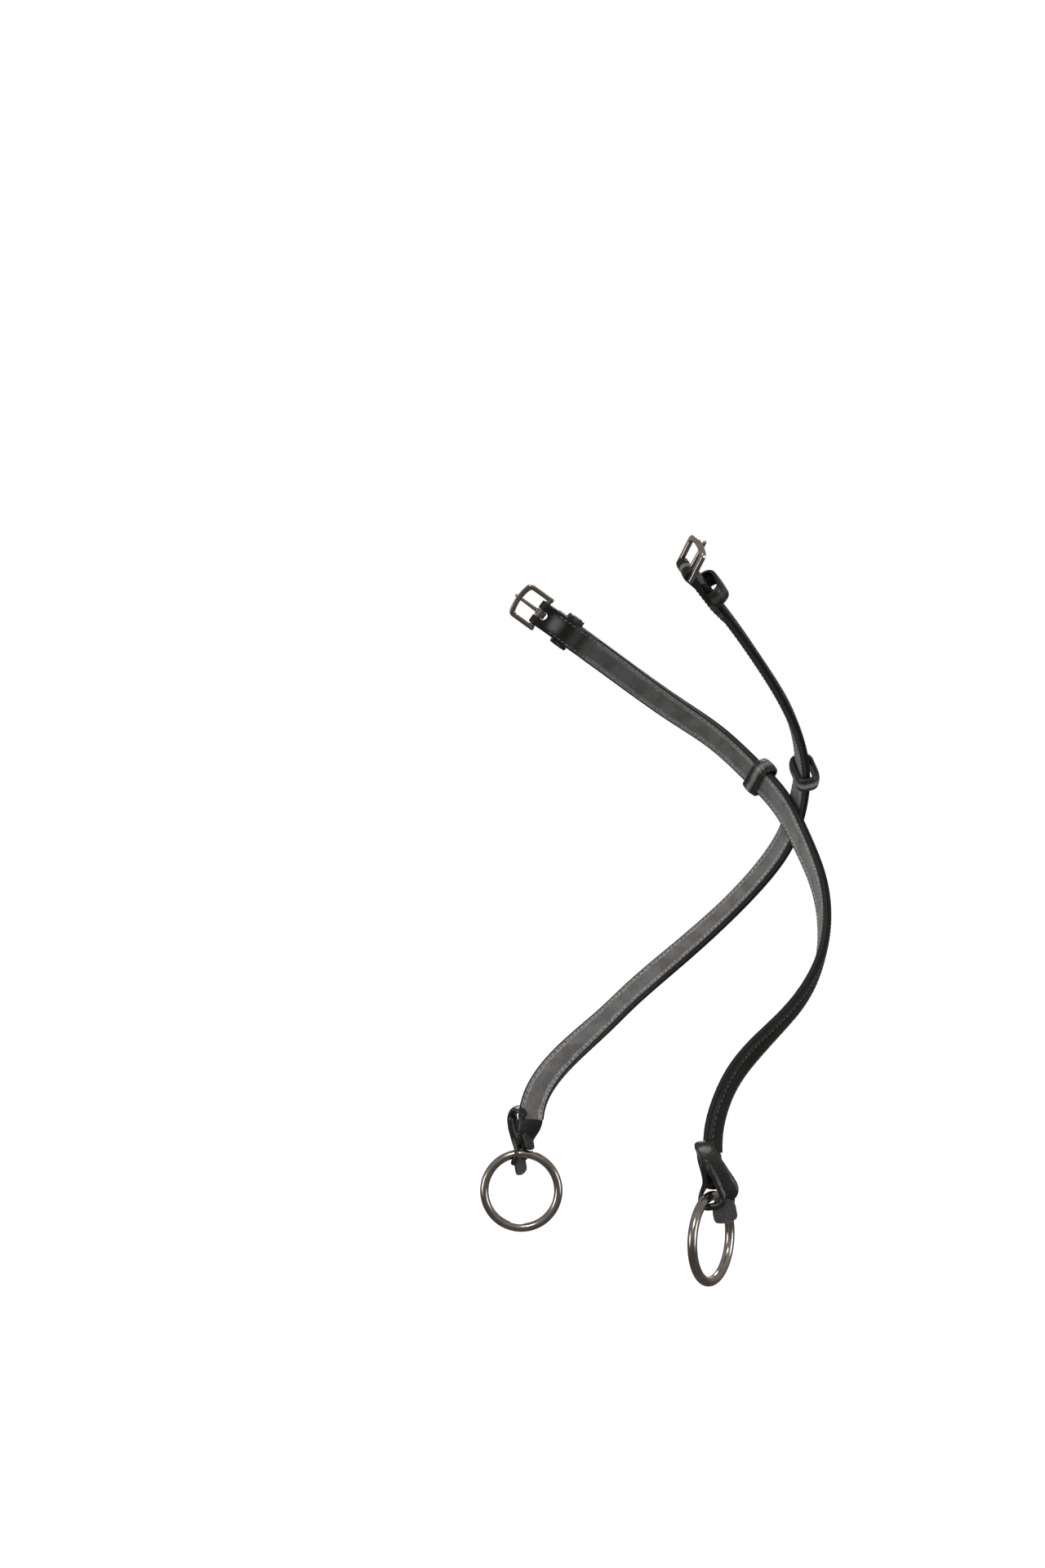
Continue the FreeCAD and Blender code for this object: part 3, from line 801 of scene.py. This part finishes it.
class Graph:
    """Short calls for building one material's nodes."""

    def __init__(self, name):
        self.material = bpy.data.materials.new(name)
        self.material.use_nodes = True
        self.nodes = self.material.node_tree.nodes
        self.links = self.material.node_tree.links
        self.shader = self.nodes["Principled BSDF"]

    def feed(self, socket, value):
        if isinstance(value, bpy.types.NodeSocket):
            self.links.new(value, socket)
        elif value is not None:
            socket.default_value = value

    def local(self, scale=(1, 1, 1)):
        """The piece's own millimetres, stretched."""
        node = self.nodes.new("ShaderNodeAttribute")
        node.attribute_name = "local"
        if scale == (1, 1, 1):
            return node.outputs["Vector"]
        return self.vector("MULTIPLY", node.outputs["Vector"], scale)

    def object_mm(self):
        node = self.nodes.new("ShaderNodeTexCoord")
        return self.vector("MULTIPLY", node.outputs["Object"], (1000, 1000, 1000))

    def vector(self, operation, a, b):
        node = self.nodes.new("ShaderNodeVectorMath")
        node.operation = operation
        self.feed(node.inputs[0], a)
        self.feed(node.inputs[1], b)
        return node.outputs[0]

    def split(self, vector):
        node = self.nodes.new("ShaderNodeSeparateXYZ")
        self.links.new(vector, node.inputs[0])
        return node.outputs[0], node.outputs[1], node.outputs[2]

    def math(self, operation, a, b=None, c=None):
        node = self.nodes.new("ShaderNodeMath")
        node.operation = operation
        for socket, value in zip(node.inputs, (a, b, c)):
            self.feed(socket, value)
        return node.outputs[0]

    def span(self, value, start, end, low=0.0, high=1.0):
        """Smooth rise from low to high as value goes from start to end."""
        node = self.nodes.new("ShaderNodeMapRange")
        node.interpolation_type = "SMOOTHSTEP"
        for key, number in (("Value", value), ("From Min", start), ("From Max", end),
                            ("To Min", low), ("To Max", high)):
            self.feed(node.inputs[key], number)
        return node.outputs["Result"]

    def noise(self, vector, scale, detail=3.0, rough=0.55):
        node = self.nodes.new("ShaderNodeTexNoise")
        self.feed(node.inputs["Vector"], vector)
        self.feed(node.inputs["Scale"], scale)
        self.feed(node.inputs["Detail"], detail)
        self.feed(node.inputs["Roughness"], rough)
        return node.outputs["Fac"]

    def cells(self, vector, scale):
        node = self.nodes.new("ShaderNodeTexVoronoi")
        node.feature = "F1"
        self.feed(node.inputs["Vector"], vector)
        self.feed(node.inputs["Scale"], scale)
        return node.outputs["Distance"]

    def mix(self, share, a, b):
        node = self.nodes.new("ShaderNodeMix")
        node.data_type = "RGBA"
        self.feed(node.inputs["Factor"], share)
        self.feed(node.inputs["A"], (*a, 1) if isinstance(a, tuple) else a)
        self.feed(node.inputs["B"], (*b, 1) if isinstance(b, tuple) else b)
        return node.outputs["Result"]

    def bump(self, height, strength, distance, normal=None):
        node = self.nodes.new("ShaderNodeBump")
        self.feed(node.inputs["Strength"], strength)
        self.feed(node.inputs["Distance"], distance)
        self.feed(node.inputs["Height"], height)
        self.feed(node.inputs["Normal"], normal)
        return node.outputs["Normal"]

    def finish(self, color, roughness, normal, **fixed):
        self.feed(self.shader.inputs["Base Color"], color)
        self.feed(self.shader.inputs["Roughness"], roughness)
        self.feed(self.shader.inputs["Normal"], normal)
        for key, value in fixed.items():
            self.shader.inputs[key.replace("_", " ")].default_value = value
        return self.material


def chape_highlights_and_fade(g, color, along, across, rub):
    """Painted highlights behind the slot and further along the fold; the dressing fades out over the
    thinned end.
    """
    lift = g.math("SUBTRACT", rub, 0.5)
    at = g.math("MULTIPLY_ADD", lift, 5.0, along)
    inner = g.span(g.math("ABSOLUTE", across), 6.4, 2.0)
    slot_highlight = g.math("MULTIPLY", g.span(at, 5.0, 9.5), g.span(at, 16.5, 10.5))
    slot_highlight = g.math("MULTIPLY", slot_highlight, inner)
    fold_highlight = g.math("MULTIPLY", g.span(at, 19.0, 24.0), g.span(at, 29.0, 25.0))
    # The first two mixes paint highlights, behind the slot and further on; the last is the real fade to
    # grey.
    color = g.mix(g.math("MULTIPLY", slot_highlight, 0.75), color, SLOT_HIGHLIGHT)
    color = g.mix(g.math("MULTIPLY", fold_highlight, 0.35), color, FOLD_HIGHLIGHT)
    return g.mix(g.span(at, 26.0, CHAPE_END - 1.0, 0.0, 0.9), color, FADED_AT_END)


def black_leather(name, half, top, gloss=0.42, wrinkle=0.5, seam_z=None, shine=0.35, highlights_and_fade=False,
                  crown_highlight=0.0):
    """Dressed black bridle leather: fine grain, soft creases across it, greyed edges.

    half and top are the piece's half width and height, gloss its roughness. The last two paint
    highlights into the colour: the chape's two, with its end fading grey, and one on the crown.
    """
    g = Graph(name)
    at = g.local()
    along, across, up = g.split(at)
    cloud = g.noise(at, 0.11, 4)
    grain = g.cells(at, 2.1)
    pores = g.noise(at, 5.0, 2)
    creases = g.noise(g.local((0.9, 0.22, 0.6)), 1.0, 4, 0.62)
    rub = g.noise(at, 0.8, 5, 0.7)
    color = g.mix(g.span(cloud, 0.3, 0.7), *DRESSING)
    color = g.mix(g.span(rub, 0.52, 0.75, 0.0, 0.4), color, DRESSING_RUBBED)
    rim = g.span(g.math("ABSOLUTE", across), half - 1.1, half - 0.15)
    high = g.span(up, top - 1.1, top - 0.3)
    worn = g.math("MULTIPLY", g.math("MULTIPLY", rim, high), g.span(rub, 0.42, 0.62))
    color = g.mix(g.math("MULTIPLY", worn, 0.6), color, DRESSING_WORN)
    edge = g.span(g.math("ABSOLUTE", across), half - 0.25, half - 0.08)
    color = g.mix(g.math("MULTIPLY", edge, 0.7), color, LEATHER_EDGE)
    # Painted highlight: the middle of the crown is painted lighter where light would catch it.
    if crown_highlight:
        uneven = g.math("MULTIPLY_ADD", g.math("SUBTRACT", rub, 0.5), 3.0, g.math("ABSOLUTE", across))
        crown = g.math("MULTIPLY", g.span(uneven, 2.9, 0.0), g.span(cloud, 0.3, 0.5))
        color = g.mix(g.math("MULTIPLY", crown, crown_highlight), color, PAINTED_CROWN_HIGHLIGHT)
    if highlights_and_fade:
        color = chape_highlights_and_fade(g, color, along, across, rub)
    roughness = g.span(rub, 0.3, 0.75, gloss - 0.08, gloss + 0.14)
    height = g.math("MULTIPLY_ADD", grain, -0.5, g.math("MULTIPLY", pores, 0.35))
    height = g.math("MULTIPLY_ADD", creases, wrinkle * 1.6, height)
    if seam_z is not None:
        gap = g.span(g.math("ABSOLUTE", g.math("SUBTRACT", up, seam_z)), 0.05, 0.3)
        height = g.math("MULTIPLY_ADD", g.math("MULTIPLY", g.math("SUBTRACT", gap, 1.0), edge), 2.0, height)
    normal = g.bump(height, 0.3, 0.00028)
    return g.finish(color, roughness, normal, Specular_IOR_Level=shine)


def suede_lining(name):
    """Grey flesh side with paler, fluffed-up bands over the seams and black painted edges, with painted
    shade near the buckle and painted light towards the ring.
    """
    g = Graph(name)
    at = g.local()
    along, across, up = g.split(at)
    wide = g.math("ABSOLUTE", across)
    speck = g.noise(at, 1.9, 3, 0.75)
    fibre = g.noise(g.local((0.8, 2.2, 1.0)), 1.5, 4, 0.7)
    cloud = g.noise(at, 0.09, 4)
    soft = g.noise(at, 0.3, 3)
    fine = g.noise(at, 2.6, 3, 0.7)
    color = g.mix(g.span(cloud, 0.36, 0.66), *SUEDE)
    color = g.mix(g.span(fibre, 0.35, 0.7, 0.0, 0.6), color, SUEDE_FIBRE)
    color = g.mix(g.span(fine, 0.42, 0.3, 0.0, 0.7), color, SUEDE_FINE)
    shifted = g.math("MULTIPLY_ADD", g.math("SUBTRACT", soft, 0.5), 2.0, wide)
    band = g.math("MULTIPLY", g.span(shifted, 3.6, 5.2), g.span(shifted, 7.0, 6.2))
    specks = g.math("MULTIPLY", band, g.span(speck, 0.46, 0.62))
    color = g.mix(g.math("MULTIPLY", band, 0.5), color, SUEDE_BAND)
    color = g.mix(specks, color, SUEDE_SPECK)
    pits = g.math("MULTIPLY", band, g.span(speck, 0.42, 0.34))
    color = g.mix(g.math("MULTIPLY", pits, 0.75), color, SUEDE_PIT)
    # Painted shade and light: the lining is darkened near the buckle and lightened towards the ring.
    color = g.vector("MULTIPLY", color, g.span(along, 30, 260, 0.55, 1.42))
    frayed = g.math("MULTIPLY_ADD", g.math("SUBTRACT", speck, 0.5), 0.9, wide)
    on_side = g.span(up, -2.32, -1.95)
    fuzz = g.math("MULTIPLY", g.span(frayed, 5.95, 6.25), g.math("SUBTRACT", 1.0, on_side))
    color = g.mix(g.math("MULTIPLY", fuzz, 0.45), color, SUEDE_FUZZ)
    paint = g.math("MAXIMUM", on_side, g.span(frayed, 6.4, 6.65))
    color = g.mix(paint, color, EDGE_PAINT)
    roughness = g.span(paint, 0.0, 1.0, 0.93, 0.4)
    height = g.math("ADD", g.math("MULTIPLY", speck, 1.1), g.math("MULTIPLY", fibre, 0.9))
    height = g.math("MULTIPLY", height, g.span(paint, 0.0, 1.0, 1.0, 0.25))
    normal = g.bump(height, 0.8, 0.00035)
    return g.finish(color, roughness, normal,
                    Specular_IOR_Level=0.3, Sheen_Weight=0.15, Sheen_Roughness=0.5)


def flesh_leather(name, tone):
    """Raw flesh side or cut end: grey, fibrous and matt."""
    g = Graph(name)
    at = g.local()
    speck = g.noise(at, 3.2, 3, 0.7)
    fibre = g.cells(at, 2.6)
    cloud = g.noise(at, 0.3, 3)
    color = g.mix(g.span(speck, 0.35, 0.68), (tone * 0.35,) * 3, (tone * 1.7,) * 3)
    color = g.mix(g.span(cloud, 0.4, 0.7, 0.0, 0.5), color, (tone * 0.8,) * 3)
    height = g.math("MULTIPLY_ADD", fibre, -0.8, speck)
    normal = g.bump(height, 0.9, 0.0004)
    return g.finish(color, 0.9, normal, Specular_IOR_Level=0.25, Sheen_Weight=0.15)


def waxed_thread(name, color_low, color_high):
    """Twisted waxed thread, with painted shade in the hollows of its twist."""
    g = Graph(name)
    along, across, _ = g.split(g.local())
    turn = g.math("SINE", g.math("MULTIPLY_ADD", along, 9.0, g.math("MULTIPLY", across, 12.0)))
    worn = g.noise(g.local(), 0.5, 3)
    color = g.mix(g.span(worn, 0.35, 0.7), color_low, color_high)
    # Painted shade: the hollows of the twist are darkened.
    color = g.mix(g.span(turn, -1.0, -0.2, 0.5, 0.0), color, THREAD_TWIST_SHADE)
    return g.finish(color, 0.55, g.bump(turn, 0.6, 0.00012), Specular_IOR_Level=0.45)


def polished_steel(name):
    """Polished stainless steel with a warm cast, fine rubbing marks and faint smears."""
    g = Graph(name)
    at = g.object_mm()
    smear = g.noise(at, 0.16, 4, 0.6)
    rub = g.noise(g.vector("MULTIPLY", at, (1.0, 1.0, 6.0)), 1.1, 4, 0.7)
    color = g.mix(g.span(smear, 0.35, 0.7), *STEEL)
    color = g.mix(g.span(rub, 0.6, 0.8, 0.0, 0.4), color, STEEL_RUBBED)
    roughness = g.span(rub, 0.35, 0.75, 0.12, 0.26)
    normal = g.bump(g.math("ADD", rub, g.math("MULTIPLY", smear, 2.0)), 0.05, 0.0002)
    return g.finish(color, roughness, normal, Metallic=1.0)


def glowing_cloth(name, low, high):
    """Cloth that glows evenly of itself, standing in for lit surroundings, darker towards the floor."""
    g = Graph(name)
    up = g.split(g.object_mm())[2]
    color = g.mix(g.span(up, -1500, 900), low, high)
    g.feed(g.shader.inputs["Emission Color"], color)
    return g.finish((0, 0, 0, 1), 1.0, None, Emission_Strength=1.0)


# ---------------------------------------------------------------- stage

CAMERA_AT = (1.000, -0.633, -0.152)
CAMERA_AZIMUTH = 60
CAMERA_SHIFT = 0.0573
CAMERA_LENS, CAMERA_SENSOR = 50, 36
FLOOR_Z, FLOOR_SIZE = -0.43, 60
FLOOR_GREY, FLOOR_GLOW = (0.42, 0.42, 0.42, 1), 0.62
DRAPE_R = 2.6
OBJECT_MIDDLE, RINGS_MIDDLE = (0, 0.03, -0.17), (0, 0.03, -0.3)


def floor():
    """Wide pale paper, a little bright of itself, that doesn't show in the steel."""
    work = bmesh.new()
    bmesh.ops.create_grid(work, x_segments=1, y_segments=1, size=FLOOR_SIZE / 2)
    mesh = bpy.data.meshes.new("floor")
    work.to_mesh(mesh)
    work.free()
    g = Graph("floor_paper")
    mesh.materials.append(g.finish(FLOOR_GREY, 0.9, None, Specular_IOR_Level=0.0,
                                   Emission_Color=(1, 1, 1, 1), Emission_Strength=FLOOR_GLOW))
    obj = loose(mesh)
    obj.location.z = FLOOR_Z
    obj.visible_glossy = False


def drape():
    """Warm grey cloth all round the studio that shows only in reflections."""
    work = bmesh.new()
    bmesh.ops.create_uvsphere(work, u_segments=32, v_segments=16, radius=DRAPE_R)
    mesh = bpy.data.meshes.new("drape")
    work.to_mesh(mesh)
    work.free()
    mesh.materials.append(glowing_cloth("drape_cloth", *DRAPE))
    obj = loose(mesh)
    obj.visible_camera = obj.visible_shadow = obj.visible_diffuse = False


def area_light(name, at, size, watts, color=(1, 1, 1), look_at=OBJECT_MIDDLE):
    """Round soft light that faces look_at."""
    data = bpy.data.lights.new(name, "AREA")
    data.shape, data.size, data.energy, data.color = "DISK", size, watts, color
    obj = bpy.data.objects.new(name, data)
    obj.location = at
    obj.rotation_euler = (Vector(look_at) - Vector(at)).to_track_quat("-Z", "Y").to_euler()
    bpy.context.scene.collection.objects.link(obj)


def studio():
    """Floor, white air and four soft lights."""
    floor()
    drape()
    world = bpy.data.worlds.new("studio_air")
    bpy.context.scene.world = world
    world.use_nodes = True
    air = world.node_tree.nodes["Background"]
    air.inputs["Color"].default_value = (1.0, 1.0, 1.0, 1)
    air.inputs["Strength"].default_value = 1.0
    area_light("key", (1.1, -1.0, 0.9), 0.5, 7, (1.0, 0.985, 0.96))
    area_light("left_side", (0.0, -1.6, -0.25), 0.8, 4, (1.0, 0.99, 0.98), RINGS_MIDDLE)
    area_light("right_side", (1.35, 0.75, -0.25), 0.8, 4, (0.97, 0.98, 1.0), RINGS_MIDDLE)
    area_light("rim", (-0.9, 0.7, 0.8), 0.6, 6)


def camera():
    """Level camera, a little below the height at which the straps cross."""
    data = bpy.data.cameras.new("camera")
    data.lens, data.sensor_width, data.shift_y = CAMERA_LENS, CAMERA_SENSOR, CAMERA_SHIFT
    obj = bpy.data.objects.new("camera", data)
    obj.location = CAMERA_AT
    obj.rotation_euler = (math.radians(90), 0, math.radians(CAMERA_AZIMUTH))
    bpy.context.scene.collection.objects.link(obj)
    bpy.context.scene.camera = obj
    bpy.context.scene.view_settings.view_transform = "Standard"


# ---------------------------------------------------------------- all together

def metal(material):
    """The buckles and rings stay as CAD made them, in polished steel."""
    for node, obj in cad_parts.items():
        if "buckle" in node or "ring" in node:
            obj.data.materials.clear()
            obj.data.materials.append(material)
            shade(obj.data, 45)


def strap(name):
    """Everything leather and thread on one strap."""
    route = Route(ROUTES[name])
    strap_face(name, route, looks["face"], looks["raw"])
    strap_lining(name, route, looks["suede"])
    seam(name, "front", SEAM_Y, route, looks["thread"])
    seam(name, "back", -SEAM_Y, route, looks["thread"])
    chape(name, route, looks["chape"])
    fixed_keeper(name, route, looks["keeper"])
    runner_keeper(name, route, looks["runner"], looks["dark_thread"])
    hitch(name, looks["knot"], looks["flesh"], looks["thread"])


looks = {
    "face": black_leather("grain_leather", STRAP_HALF, FACE_HIGH),
    "chape": black_leather("fold_leather", CHAPE_HALF, 1.0, 0.34, 0.7, -2.0, 0.5, highlights_and_fade=True),
    "keeper": black_leather("keeper_leather", KEEPER_LENGTH / 2, KEEPER_T, 0.28, 0.3,
                            shine=0.7, crown_highlight=0.12),
    "runner": black_leather("runner_leather", KEEPER_LENGTH / 2, RUNNER_T, 0.28, 0.4,
                            shine=1.0, crown_highlight=0.7),
    "knot": black_leather("hitch_leather", 40.0, 60.0, 0.27, 1.3, shine=1.0),
    "suede": suede_lining("suede_lining"),
    "flesh": flesh_leather("flesh_side", FLESH_TONE),
    "raw": flesh_leather("raw_cut", RAW_TONE),
    "thread": waxed_thread("waxed_thread", *THREAD),
    "dark_thread": waxed_thread("dark_thread", *DARK_THREAD),
}
for side_name in ROUTES:
    strap(side_name)
metal(polished_steel("polished_steel"))
studio()
camera()
